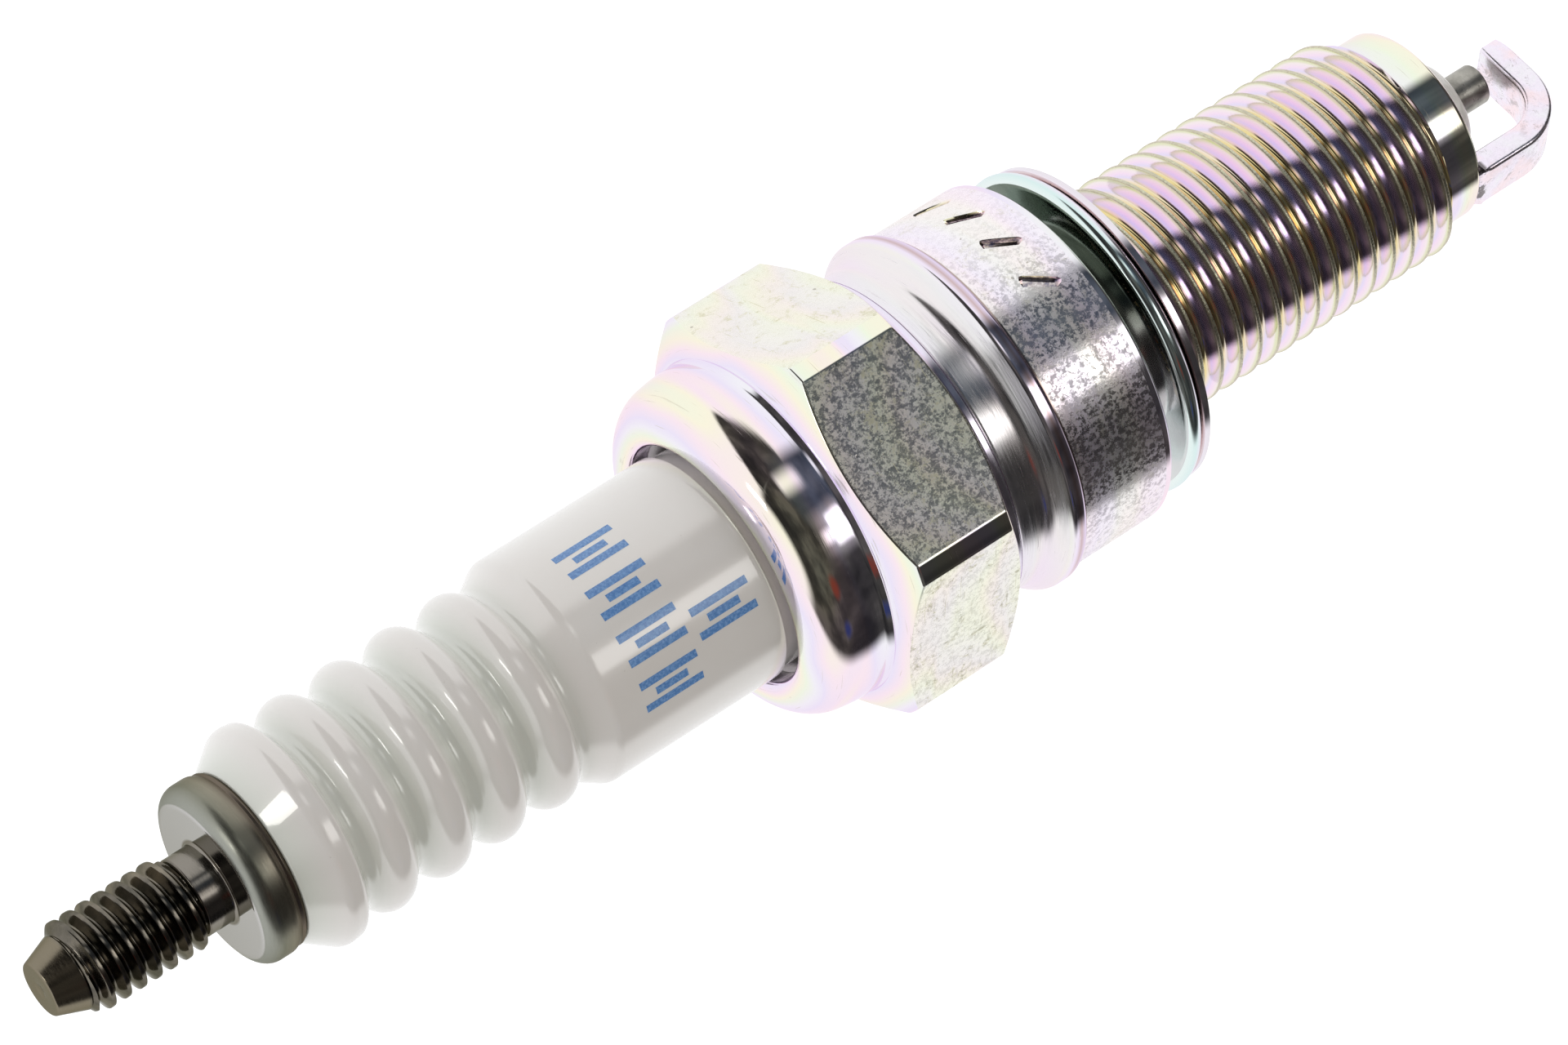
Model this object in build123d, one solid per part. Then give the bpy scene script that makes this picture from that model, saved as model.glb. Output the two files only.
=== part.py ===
"""Spark plug with an M10 x 1.0 thread of 19 mm reach, a 16 mm hexagon and an M4 x 0.7 terminal stud.

The plug's axis is Z. The terminal stud points up and the firing end points down.
The origin is on the axis, in the plane of the shell's seat. Lengths are in millimetres.
"""
from build123d import *
import math
import os

# Shell: thread, seat and barrel
THREAD_MAJOR_R = 4.95
THREAD_PITCH = 1.0
THREAD_TOP = -1.9
THREAD_END = -17.35
THREAD_CREST = -4.6
THREAD_OVERLAP = 0.01
REACH = 19.0
PILOT_R = 4.25
NECK_R = 4.45
NECK_END = -1.56
COLLAR_R = 4.7
COLLAR_TOP = -1.81
COLLAR_BOTTOM = -2.05
BARREL_R = 7.6
BARREL_TOP = 4.55
LIP_R = 7.85
LIP_TOP = 5.2
WAIST_R = 7.08
WAIST_TOP = 7.5

# Shell: hexagon and rolled rim
HEX_ACROSS_FLATS = 16.0
HEX_CORNER_R = 9.0
HEX_BOTTOM = 7.8
HEX_TOP = 13.9
HEX_CHAMFER_ANGLE = 30.0
HEX_CORE_R = 7.4
RIM_R = 7.42
RIM_ROOT_R = 7.3
RIM_TOP = 17.05
RIM_OPENING_R = 5.25

# Shell: bore
CHAMBER_R = 6.05
CHAMBER_FLOOR = 5.9
RIM_UNDERSIDE = 16.1
CORE_BORE_R = 3.4
LEDGE_BORE_R = 2.75
LEDGE_TOP = -8.2
LEDGE_LENGTH = 2.6
NOSE_BORE_R = 3.15

# Insulator
BODY_R = 4.77
GLAZE = 0.18
GLAZE_BOTTOM = 17.2
HEAD_TOP = 39.0
HEAD_TOP_R = 3.72
HEAD_CREST_R = 4.66
HEAD_CREST = 37.35
RIB_R = 4.66
RIB_VALLEY_R = 3.86
RIB_FIRST = 35.0
RIB_PITCH = 2.55
RIB_COUNT = 4
RIB_FLANK_ANGLE = 50.0
RIB_CREST_FILLET = 0.85
RIB_VALLEY_FILLET = 0.44
LAST_VALLEY_R = 4.32
BODY_TOP = 25.15
SHOULDER_TOP = 12.9
SHOULDER_R = 5.8
SHOULDER_BOTTOM = 6.9
CORE_R = 3.2
SEAT_CONE_TOP = -7.9
NOSE_ROOT_R = 2.5
NOSE_TIP_R = 2.1
NOSE_TIP = -20.5
CONDUCTOR_BORE_R = 1.6
BORE_STEP = -2.6
ELECTRODE_BORE_R = 0.95

# Parts packed between the insulator and the shell
WIRE_RING_R = (CHAMBER_R - BODY_R) / 2

# Parts in the insulator's bore
ELECTRODE_R = 0.87
ELECTRODE_TIP = -22.5
ELECTRODE_HEAD_R = 1.45
ELECTRODE_HEAD_TOP = -1.4
COPPER_R = 0.48
COPPER_END = -20.0
RESISTOR_BOTTOM = 1.8
RESISTOR_TOP = 10.6
UPPER_SEAL_TOP = 13.6
SHANK_END = 12.2

# Terminal stud
SHANK_R = 1.35
FLANGE_R = 3.86
FLANGE_BOTTOM = 39.25
FLANGE_TOP = 40.8
STUD_NECK_R = 1.68
STUD_THREAD_BOTTOM = 42.0
STUD_THREAD_TOP = 47.3
STUD_MAJOR_R = 1.98
STUD_PITCH = 0.7
STUD_CREST = 46.735
STUD_CONE_R = 1.62
STUD_TIP = 48.6
STUD_TIP_R = 1.13

# Crush gasket: one steel strip folded into three layers
GASKET_TOP = -1.15
GASKET_SHEET = 0.36
GASKET_LAYER_STEP = 0.41
GASKET_OUTER_R = 7.2
GASKET_LIP_R = 4.62
GASKET_FOLD_R = 5.1

# Ground electrode
STRAP_WIDTH = 2.2
STRAP_THICKNESS = 1.1
STRAP_MID_R = 3.7
STRAP_BEND_R = 2.2
STRAP_END_R = -0.7
STRAP_AZIMUTH = -61.0
SPARK_GAP = 0.6

RING_MID_R = (BODY_R + CHAMBER_R) / 2
UPPER_RING_Z = RIM_UNDERSIDE - WIRE_RING_R
LOWER_RING_Z = SHOULDER_TOP + WIRE_RING_R * (math.sqrt(2) - 1)


def turned(*corners):
    """Solid of revolution about Z from corners given as (radius, height) or (radius, height, fillet)."""
    edges = []
    ends = [rounded_corner(corners, i) for i in range(len(corners))]
    for i, (start, middle, end) in enumerate(ends):
        if (end - start).length > 1e-6:
            edges.append(ThreePointArc(start, middle, end))
        following = ends[(i + 1) % len(ends)][0]
        if (following - end).length > 1e-6:
            edges.append(Line(end, following))
    return revolve(Plane.XZ * make_face(edges), axis=Axis.Z)


def rounded_corner(corners, index):
    """Start, middle and end of the arc that rounds one corner. All three are the corner itself if it is sharp."""
    corner = Vector(*corners[index][:2])
    radius = corners[index][2] if len(corners[index]) == 3 else 0
    if radius == 0:
        return corner, corner, corner
    before = (Vector(*corners[index - 1][:2]) - corner).normalized()
    after = (Vector(*corners[(index + 1) % len(corners)][:2]) - corner).normalized()
    half_angle = math.acos(max(-1, min(1, before.dot(after)))) / 2
    reach = radius / math.tan(half_angle)
    inward = (before + after).normalized()
    middle = corner + inward * (radius / math.sin(half_angle) - radius)
    return corner + before * reach, middle, corner + after * reach


def apex(rounded_radius, fillet, side):
    """Radius of a sharp rib corner that its fillet brings to rounded_radius. side is 1 on a crest, -1 in a valley."""
    return rounded_radius + side * fillet * (1 / math.cos(math.radians(RIB_FLANK_ANGLE)) - 1)


def thread_root(major_r, pitch):
    """Root radius of an ISO metric external thread."""
    return major_r - 0.6134 * pitch


def thread_ridge(major_r, pitch, bottom, top, crest_z, lead_in):
    """Right-hand 60 degree ridge, tapered by lead_in at both ends. It has a crest at crest_z on +X."""
    root_r = thread_root(major_r, pitch)
    depth = major_r - root_r
    base = pitch * 0.43
    crest = pitch * 0.075
    buried = 0.2
    turns = (top - bottom) / pitch + 2
    path = Helix(pitch, turns * pitch, root_r, center=(0, 0, bottom - pitch))
    section = Plane(path @ 0, x_dir=(1, 0, 0), z_dir=path % 0) * make_face(
        Polyline((-buried, -base), (0, -base), (depth, -crest), (depth, crest), (0, base), (-buried, base), close=True)
    )
    envelope = turned(
        (root_r - 0.3, bottom),
        (root_r - 0.1, bottom),
        (major_r + 0.01, bottom + lead_in),
        (major_r + 0.01, top - lead_in),
        (root_r - 0.1, top),
        (root_r - 0.3, top),
    )
    phase = 360 * (bottom - pitch - crest_z) / pitch
    return Rot(0, 0, phase % 360) * (sweep(section, path=path, is_frenet=True) & envelope)


def make_shell():
    """Steel shell: pilot, thread, neck, barrel, waist, hexagon, rolled rim and stepped bore."""
    core_r = thread_root(THREAD_MAJOR_R, THREAD_PITCH) + THREAD_OVERLAP
    ledge_rise = CORE_BORE_R - LEDGE_BORE_R
    ledge_end = LEDGE_TOP - ledge_rise - LEDGE_LENGTH
    tube = turned(
        (PILOT_R, -REACH, 0.2),
        (PILOT_R, THREAD_END + 0.2),
        (core_r, THREAD_END + 0.25),
        (core_r, COLLAR_BOTTOM - 0.35),
        (COLLAR_R, COLLAR_BOTTOM),
        (COLLAR_R, COLLAR_TOP),
        (NECK_R, NECK_END),
        (NECK_R, 0, 0.2),
        (BARREL_R - 0.15, 0),
        (BARREL_R, 0.15),
        (BARREL_R, BARREL_TOP, 0.1),
        (LIP_R, BARREL_TOP, 0.2),
        (LIP_R, LIP_TOP, 0.3),
        (WAIST_R + 0.1, LIP_TOP + 0.75, 0.8),
        (WAIST_R, WAIST_TOP, 0.3),
        (HEX_CORE_R, WAIST_TOP),
        (HEX_CORE_R, HEX_TOP),
        (RIM_ROOT_R, HEX_TOP, 0.15),
        (RIM_R, HEX_TOP + 0.8, 1.6),
        (RIM_R - 0.35, RIM_TOP, 1.75),
        (RIM_OPENING_R, RIM_TOP, 0.35),
        (RIM_OPENING_R, RIM_UNDERSIDE),
        (CHAMBER_R, RIM_UNDERSIDE),
        (CHAMBER_R, CHAMBER_FLOOR),
        (CORE_BORE_R, CHAMBER_FLOOR - (CHAMBER_R - CORE_BORE_R)),
        (CORE_BORE_R, LEDGE_TOP),
        (LEDGE_BORE_R, LEDGE_TOP - ledge_rise),
        (LEDGE_BORE_R, ledge_end),
        (NOSE_BORE_R, ledge_end - 0.4),
        (NOSE_BORE_R, -REACH + 0.2),
        (NOSE_BORE_R + 0.2, -REACH),
    )
    ridge = thread_ridge(THREAD_MAJOR_R, THREAD_PITCH, THREAD_END, THREAD_TOP, THREAD_CREST, 0.5)
    return tube + ridge + make_hexagon()


def make_hexagon():
    """Hexagonal ring with turned corners and a 30 degree chamfer on both ends."""
    height = HEX_TOP - HEX_BOTTOM
    side = HEX_ACROSS_FLATS / math.sqrt(3)
    prism = Pos(0, 0, HEX_BOTTOM) * extrude(Rot(0, 0, 30) * RegularPolygon(side, 6), height)
    slope = math.tan(math.radians(HEX_CHAMFER_ANGLE))
    flat_r = HEX_ACROSS_FLATS / 2 - 0.5
    drop = (HEX_CORNER_R - flat_r) * slope
    turned_blank = turned(
        (HEX_CORE_R - 0.6, HEX_BOTTOM),
        (flat_r, HEX_BOTTOM),
        (HEX_CORNER_R, HEX_BOTTOM + drop),
        (HEX_CORNER_R, HEX_TOP - drop),
        (flat_r, HEX_TOP),
        (HEX_CORE_R - 0.6, HEX_TOP),
    )
    return prism & turned_blank


def make_insulator():
    """Glazed ceramic body with a conical head, four ribs, a plain barrel, a shoulder and a nose."""
    flank = math.tan(math.radians(RIB_FLANK_ANGLE))
    crest_apex = apex(RIB_R, RIB_CREST_FILLET, 1)
    valley_apex = crest_apex - RIB_PITCH / 2 * flank
    last_apex = apex(LAST_VALLEY_R, RIB_VALLEY_FILLET, -1)
    corners = [
        (CONDUCTOR_BORE_R, HEAD_TOP),
        (HEAD_TOP_R, HEAD_TOP, 0.18),
        (HEAD_CREST_R + 0.12, HEAD_CREST + 0.25, 0.7),
        (HEAD_CREST_R + 0.06, HEAD_CREST - 0.45, 0.35),
        (valley_apex, RIB_FIRST + RIB_PITCH / 2, RIB_VALLEY_FILLET),
    ]
    for i in range(RIB_COUNT):
        crest_z = RIB_FIRST - i * RIB_PITCH
        corners.append((crest_apex, crest_z, RIB_CREST_FILLET))
        if i < RIB_COUNT - 1:
            corners.append((valley_apex, crest_z - RIB_PITCH / 2, RIB_VALLEY_FILLET))
    last_z = RIB_FIRST - (RIB_COUNT - 1) * RIB_PITCH - (crest_apex - last_apex) / flank
    corners += [
        (last_apex, last_z, RIB_VALLEY_FILLET),
        (BODY_R + GLAZE, BODY_TOP, 0.7),
        (BODY_R + GLAZE, GLAZE_BOTTOM),
        (BODY_R, GLAZE_BOTTOM),
        (BODY_R, SHOULDER_TOP),
        (SHOULDER_R, SHOULDER_TOP - (SHOULDER_R - BODY_R), 0.3),
        (SHOULDER_R, SHOULDER_BOTTOM, 0.3),
        (CORE_R, SHOULDER_BOTTOM - (SHOULDER_R - CORE_R), 0.6),
        (CORE_R, SEAT_CONE_TOP),
        (NOSE_ROOT_R, SEAT_CONE_TOP - (CORE_R - NOSE_ROOT_R)),
        (NOSE_TIP_R, NOSE_TIP, 0.3),
        (ELECTRODE_BORE_R, NOSE_TIP),
        (ELECTRODE_BORE_R, BORE_STEP),
        (CONDUCTOR_BORE_R, BORE_STEP),
    ]
    return turned(*corners)


def make_wire_ring(height):
    """Round wire ring that closes one end of the packing chamber."""
    return Pos(0, 0, height) * Torus(RING_MID_R, WIRE_RING_R)


def make_talc():
    """Pressed powder between the two wire rings."""
    return turned(
        (BODY_R, LOWER_RING_Z + WIRE_RING_R),
        (CHAMBER_R, LOWER_RING_Z + WIRE_RING_R),
        (CHAMBER_R, UPPER_RING_Z - WIRE_RING_R),
        (BODY_R, UPPER_RING_Z - WIRE_RING_R),
    )


def make_seat_packing():
    """Thin conical washer between the insulator's seat cone and the shell's ledge."""
    insulator_rise = SEAT_CONE_TOP - CORE_R
    ledge_rise = LEDGE_TOP - CORE_BORE_R
    inner = LEDGE_BORE_R + 0.05
    outer = CORE_R - 0.03
    return turned(
        (inner, inner + ledge_rise),
        (outer, outer + ledge_rise),
        (outer, outer + insulator_rise),
        (inner, inner + insulator_rise),
    )


def make_crush_gasket():
    """Folded steel gasket, loose on the shell's neck and held there by the thread."""
    fold_r = (GASKET_LAYER_STEP + GASKET_SHEET) / 2
    slot_r = (GASKET_LAYER_STEP - GASKET_SHEET) / 2
    outer_centre = GASKET_OUTER_R - fold_r
    inner_centre = GASKET_FOLD_R + fold_r
    layer_mid = [GASKET_TOP - GASKET_SHEET / 2 - i * GASKET_LAYER_STEP for i in range(3)]
    top_layer = gasket_layer(GASKET_LIP_R, outer_centre, layer_mid[0])
    middle_layer = gasket_layer(inner_centre, outer_centre, layer_mid[1])
    bottom_layer = gasket_layer(inner_centre, GASKET_OUTER_R - 0.12, layer_mid[2])
    outer_fold = gasket_fold(outer_centre, (layer_mid[0] + layer_mid[1]) / 2, fold_r, slot_r, 1)
    inner_fold = gasket_fold(inner_centre, (layer_mid[1] + layer_mid[2]) / 2, fold_r, slot_r, -1)
    section = top_layer + middle_layer + bottom_layer + outer_fold + inner_fold
    return revolve(Plane.XZ * section, axis=Axis.Z)


def gasket_layer(inner_r, outer_r, middle_z):
    """Section of one flat layer of the folded strip."""
    return Pos((inner_r + outer_r) / 2, middle_z) * Rectangle(outer_r - inner_r, GASKET_SHEET)


def gasket_fold(centre_r, middle_z, fold_r, slot_r, side):
    """Section of one half-round fold. side is 1 for an outer fold and -1 for an inner one."""
    half = Pos(side * fold_r / 2, 0) * Rectangle(fold_r, 2 * fold_r)
    return Pos(centre_r, middle_z) * ((Circle(fold_r) - Circle(slot_r)) & half)


def make_ground_electrode():
    """Flat nickel strap, welded to the end of the shell and bent over the centre electrode."""
    arm_z = ELECTRODE_TIP - SPARK_GAP - STRAP_THICKNESS / 2
    half = STRAP_THICKNESS / 2
    strap = (
        Polyline((STRAP_MID_R + half, -REACH), (STRAP_MID_R + half, arm_z - half), (STRAP_END_R, arm_z - half))
        + Polyline((STRAP_END_R, arm_z - half), (STRAP_END_R, arm_z + half), (STRAP_MID_R - half, arm_z + half))
        + Polyline((STRAP_MID_R - half, arm_z + half), (STRAP_MID_R - half, -REACH), (STRAP_MID_R + half, -REACH))
    )
    section = make_face(strap.edges())
    outer_corner = section.vertices().sort_by(Axis.Y)[:2].sort_by(Axis.X)[-1]
    section = fillet(outer_corner, STRAP_BEND_R + half)
    inner_corner = [
        v for v in section.vertices()
        if abs(v.X - STRAP_MID_R + half) < 0.01 and abs(v.Y - arm_z - half) < 0.01
    ]
    section = fillet(inner_corner, STRAP_BEND_R - half)
    blade = extrude(Plane.XZ * section, STRAP_WIDTH / 2, both=True)
    return Rot(0, 0, STRAP_AZIMUTH) * blade


def make_centre_electrode():
    """Nickel electrode with a head on the insulator's bore step and a bore for its copper core."""
    return turned(
        (COPPER_R, ELECTRODE_HEAD_TOP),
        (ELECTRODE_HEAD_R, ELECTRODE_HEAD_TOP, 0.15),
        (ELECTRODE_HEAD_R, BORE_STEP),
        (ELECTRODE_R, BORE_STEP),
        (ELECTRODE_R, ELECTRODE_TIP, 0.08),
        (0, ELECTRODE_TIP),
        (0, COPPER_END),
        (COPPER_R, COPPER_END),
    )


def bore_plug(radius, bottom, top):
    """Cylinder in the insulator's bore."""
    return Pos(0, 0, (bottom + top) / 2) * Cylinder(radius, top - bottom)


def make_stud():
    """Terminal stud in one piece: shank, flange on the insulator's head, neck, M4 thread and conical tip."""
    flange_mid = (FLANGE_TOP - FLANGE_BOTTOM) / 2
    core_r = thread_root(STUD_MAJOR_R, STUD_PITCH)
    outline = turned(
        (0, SHANK_END),
        (SHANK_R, SHANK_END, 0.2),
        (SHANK_R, HEAD_TOP),
        (FLANGE_R - 0.4, HEAD_TOP),
        (FLANGE_R - 0.12, HEAD_TOP + 0.08),
        (FLANGE_R - 0.12, FLANGE_BOTTOM),
        (FLANGE_R - 0.3, FLANGE_BOTTOM),
        (FLANGE_R, FLANGE_BOTTOM + 0.2, 0.5),
        (FLANGE_R, FLANGE_TOP, flange_mid - 0.02),
        (STUD_NECK_R, FLANGE_TOP),
        (STUD_NECK_R, STUD_THREAD_BOTTOM),
        (core_r, STUD_THREAD_BOTTOM + 0.15),
        (core_r, STUD_THREAD_TOP),
        (STUD_CONE_R, STUD_THREAD_TOP, 0.05),
        (STUD_TIP_R, STUD_TIP, 0.1),
        (0, STUD_TIP),
    )
    ridge = thread_ridge(STUD_MAJOR_R, STUD_PITCH, STUD_THREAD_BOTTOM, STUD_THREAD_TOP, STUD_CREST, 0.3)
    return outline + ridge


def main():
    shank = bore_plug(SHANK_R, SHANK_END, UPPER_SEAL_TOP)
    nodes = {
        "terminal_stud": make_stud(),
        "insulator": make_insulator(),
        "metal_shell": make_shell(),
        "upper_packing_ring": make_wire_ring(UPPER_RING_Z),
        "talc_fill": make_talc(),
        "lower_packing_ring": make_wire_ring(LOWER_RING_Z),
        "seat_packing": make_seat_packing(),
        "crush_gasket": make_crush_gasket(),
        "centre_electrode": make_centre_electrode(),
        "copper_core": bore_plug(COPPER_R, COPPER_END, ELECTRODE_HEAD_TOP),
        "lower_glass_seal": bore_plug(CONDUCTOR_BORE_R, ELECTRODE_HEAD_TOP, RESISTOR_BOTTOM),
        "resistor": bore_plug(CONDUCTOR_BORE_R, RESISTOR_BOTTOM, RESISTOR_TOP),
        "upper_glass_seal": bore_plug(CONDUCTOR_BORE_R, RESISTOR_TOP, UPPER_SEAL_TOP) - shank,
        "ground_electrode": make_ground_electrode(),
    }
    os.makedirs("parts", exist_ok=True)
    for name, solid in nodes.items():
        export_step(solid, f"parts/{name}.step")


main()
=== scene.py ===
"""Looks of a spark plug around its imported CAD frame.

The plug's axis is Z and its terminal stud points up. Shapes are worked out in millimetres and made in metres.
"""
import math

import bmesh
import bpy
from mathutils import Matrix, Vector


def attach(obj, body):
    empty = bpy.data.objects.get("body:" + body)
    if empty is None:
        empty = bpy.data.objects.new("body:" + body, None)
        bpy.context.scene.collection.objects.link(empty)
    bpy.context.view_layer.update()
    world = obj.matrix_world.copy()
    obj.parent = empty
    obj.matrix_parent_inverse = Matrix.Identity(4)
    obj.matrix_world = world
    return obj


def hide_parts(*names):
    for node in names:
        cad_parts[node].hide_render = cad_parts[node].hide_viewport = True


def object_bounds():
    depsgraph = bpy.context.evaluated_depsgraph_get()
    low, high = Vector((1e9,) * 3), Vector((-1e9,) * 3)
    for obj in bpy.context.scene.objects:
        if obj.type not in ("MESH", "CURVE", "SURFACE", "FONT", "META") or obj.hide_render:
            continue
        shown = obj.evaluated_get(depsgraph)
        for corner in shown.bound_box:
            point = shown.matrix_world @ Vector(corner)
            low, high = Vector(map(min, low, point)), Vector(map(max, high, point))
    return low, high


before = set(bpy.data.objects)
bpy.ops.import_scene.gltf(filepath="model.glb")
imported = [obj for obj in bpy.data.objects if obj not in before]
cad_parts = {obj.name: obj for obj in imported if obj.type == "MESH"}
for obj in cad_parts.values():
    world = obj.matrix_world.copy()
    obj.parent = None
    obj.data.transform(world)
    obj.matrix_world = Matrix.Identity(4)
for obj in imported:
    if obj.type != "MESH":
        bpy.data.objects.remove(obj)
cad_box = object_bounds()

MM = 0.001
COLUMNS = 224

# Shell
THREAD_MAJOR_R = 4.95
THREAD_PITCH = 1.0
THREAD_CORE_R = 4.34
THREAD_TOP = -1.9
THREAD_END = -17.35
THREAD_CREST = -4.6
REACH = 19.0
PILOT_R = 4.25
NOSE_BORE_R = 3.15
NECK_R = 4.45
BARREL_R = 7.6
BARREL_TOP = 4.55
LIP_R = 7.85
LIP_TOP = 5.2
WAIST_R = 7.08
WAIST_TOP = 7.5
HEX_HALF = 8.0
HEX_CORNER_R = 9.0
HEX_FACE_R = 7.5
HEX_BORE_R = 6.8
HEX_CORE_R = 7.4
HEX_BOTTOM = 7.8
HEX_TOP = 13.9
RIM_R = 7.42
RIM_TOP = 17.05
RIM_OPENING_R = 5.25
RIM_LIP_HEIGHT = 0.95
CHAMBER_R = 6.05
HEX_CHAMFER_ANGLE = 30
HEX_FLAT_STEPS = 24
HEX_CORNER_STEPS = 5
MARK_AZIMUTHS = (20.0, 38.0, 55.5, 73.0)
MARK_HEIGHT = 2.0
MARK_SLANT = -34

# Insulator
BODY_R = 4.95
GLAZE = 0.18
GLAZE_BOTTOM = 17.2
BODY_TOP = 25.15
HEAD_TOP = 39.0
HEAD_TOP_R = 3.72
RIB_R = 4.66
RIB_FIRST = 35.0
RIB_PITCH = 2.55
RIB_COUNT = 4
RIB_FLANK_ANGLE = 50
RIB_CREST_FILLET = 0.85
RIB_VALLEY_FILLET = 0.44
LAST_VALLEY_R = 4.32
SHOULDER_R = 5.8
CORE_R = 3.2
NOSE_TIP = -20.5
BORE_STEP = -2.6
CONDUCTOR_BORE_R = 1.6
ELECTRODE_BORE_R = 0.95

# Terminal stud
FLANGE_R = 3.86
FLANGE_BOTTOM = 39.25
FLANGE_TOP = 40.8
STUD_MAJOR_R = 1.98
STUD_PITCH = 0.7
STUD_CORE_R = 1.55
STUD_BOTTOM = 42.0
STUD_TOP = 47.3
STUD_CREST = 46.735
STUD_NECK_R = 1.68
STUD_CONE_R = 1.62
STUD_TIP = 48.6
STUD_TIP_R = 1.13
SHANK_R = 1.35
SHANK_END = 12.2
STUD_COLUMNS = 160

# Centre electrode
ELECTRODE_R = 0.87
ELECTRODE_TIP = -22.5
ELECTRODE_HEAD_R = 1.45
ELECTRODE_HEAD_TOP = -1.4
COPPER_R = 0.48
COPPER_END = -20

# Gasket
GASKET_TOP = -1.15
GASKET_SHEET = 0.36
GASKET_LAYER_STEP = 0.41
GASKET_OUTER_R = 7.2
GASKET_LIP_R = 4.62
GASKET_FOLD_R = 5.1

# Ground electrode
STRAP_AZIMUTH = math.radians(-61)
STRAP_WIDTH = 2.2
STRAP_THICKNESS = 1.1
STRAP_MID_R = 3.7
STRAP_BEND_R = 2.2
STRAP_ARM_Z = -23.65
STRAP_END_R = -0.7
STRAP_EDGE_R = 0.17
STRAP_SUNK = 0.25


# ---------------------------------------------------------------- camera, light and floor

def make_camera():
    """Camera at a long lens' distance, rolled so that the plug lies across the picture."""
    camera = bpy.data.objects.new("camera", bpy.data.cameras.new("camera"))
    bpy.context.scene.collection.objects.link(camera)
    camera.data.sensor_width = 36
    camera.data.lens = 172.7
    camera.data.clip_start = 0.01
    position = Vector((270.31, 3.30, 123.46)) * MM
    target = Vector((0, -0.07, 13.44)) * MM
    roll = Matrix.Rotation(math.radians(-122.29), 3, "Z")
    camera.location = position
    look = (target - position).to_track_quat("-Z", "Y").to_matrix() @ roll
    camera.rotation_euler = look.to_euler()
    bpy.context.scene.camera = camera


def direction(azimuth, elevation):
    """Unit vector towards an azimuth measured from +X and an elevation, in degrees."""
    a, e = math.radians(azimuth), math.radians(elevation)
    return Vector((math.cos(a) * math.cos(e), math.sin(a) * math.cos(e), math.sin(e)))


class Nodes:
    """Short names for making and joining the nodes of one node tree."""

    def __init__(self, tree):
        self.tree = tree
        tree.nodes.clear()

    def add(self, kind, inputs=None, **settings):
        node = self.tree.nodes.new(kind)
        for key, value in settings.items():
            setattr(node, key, value)
        for key, value in (inputs or {}).items():
            self.put(node.inputs[key], value)
        return node

    def put(self, socket, value):
        if isinstance(value, bpy.types.NodeSocket):
            self.tree.links.new(value, socket)
        elif isinstance(value, bpy.types.Node):
            self.tree.links.new(value.outputs[0], socket)
        else:
            socket.default_value = value

    def math(self, operation, *values):
        node = self.add("ShaderNodeMath", operation=operation)
        for socket, value in zip(node.inputs, values):
            self.put(socket, value)
        return node.outputs[0]

    def spread(self, value, low, high, out_low=0.0, out_high=1.0, smooth=False):
        """value from low to high, mapped to out_low to out_high and clamped."""
        kind = "SMOOTHSTEP" if smooth else "LINEAR"
        node = self.add("ShaderNodeMapRange", interpolation_type=kind, clamp=True)
        for index, number in enumerate((value, low, high, out_low, out_high)):
            self.put(node.inputs[index], number)
        return node.outputs[0]

    def mix(self, factor, first, second, blend="MIX"):
        node = self.add("ShaderNodeMix", data_type="RGBA", blend_type=blend)
        self.put(node.inputs[0], factor)
        self.put(node.inputs[6], first)
        self.put(node.inputs[7], second)
        return node.outputs[2]

    def ramp(self, value, *stops):
        """Colour ramp of (position, (red, green, blue)) stops."""
        node = self.add("ShaderNodeValToRGB", {"Fac": value})
        elements = node.color_ramp.elements
        while len(elements) < len(stops):
            elements.new(0.5)
        for element, (position, colour) in zip(elements, stops):
            element.position = position
            element.color = (*colour, 1)
        return node.outputs[0]

    def noise(self, vector, scale, detail=3.0, roughness=0.5, distortion=0.0):
        inputs = {
            "Vector": vector,
            "Scale": scale,
            "Detail": detail,
            "Roughness": roughness,
            "Distortion": distortion,
        }
        return self.add("ShaderNodeTexNoise", inputs).outputs[0]


def patch(nodes, vector, azimuth, elevation, half_width, half_height, soft):
    """Mask of a four-sided patch of the surroundings, with soft edges, in degrees."""
    centre = direction(azimuth, elevation)
    side = Vector((0, 0, 1)).cross(centre).normalized()
    up = centre.cross(side)
    parts = []
    for axis in (centre, side, up):
        dot = nodes.add("ShaderNodeVectorMath", {0: vector, 1: axis}, operation="DOT_PRODUCT")
        parts.append(dot.outputs["Value"])
    across = nodes.math("ABSOLUTE", nodes.math("ARCTAN2", parts[1], parts[0]))
    along = nodes.math("ABSOLUTE", nodes.math("ARCSINE", parts[2]))
    masks = []
    for angle, half in ((across, half_width), (along, half_height)):
        low, high = math.radians(half - soft), math.radians(half + soft)
        masks.append(nodes.spread(angle, low, high, 1.0, 0.0, smooth=True))
    return nodes.math("MULTIPLY", *masks)


def triangle(nodes, vector, corners, soft):
    """Mask of a patch of the surroundings between three (azimuth, elevation) corners, in degrees."""
    points = [direction(*corner) for corner in corners]
    limit = math.sin(math.radians(soft))
    mask = 1.0
    for k, point in enumerate(points):
        normal = point.cross(points[k - 2]).normalized()
        if normal.dot(points[k - 1]) < 0:
            normal = -normal
        dot = nodes.add("ShaderNodeVectorMath", {0: vector, 1: normal}, operation="DOT_PRODUCT")
        inside = nodes.spread(dot.outputs["Value"], -limit, limit, smooth=True)
        mask = nodes.math("MULTIPLY", mask, inside)
    return mask


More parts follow.
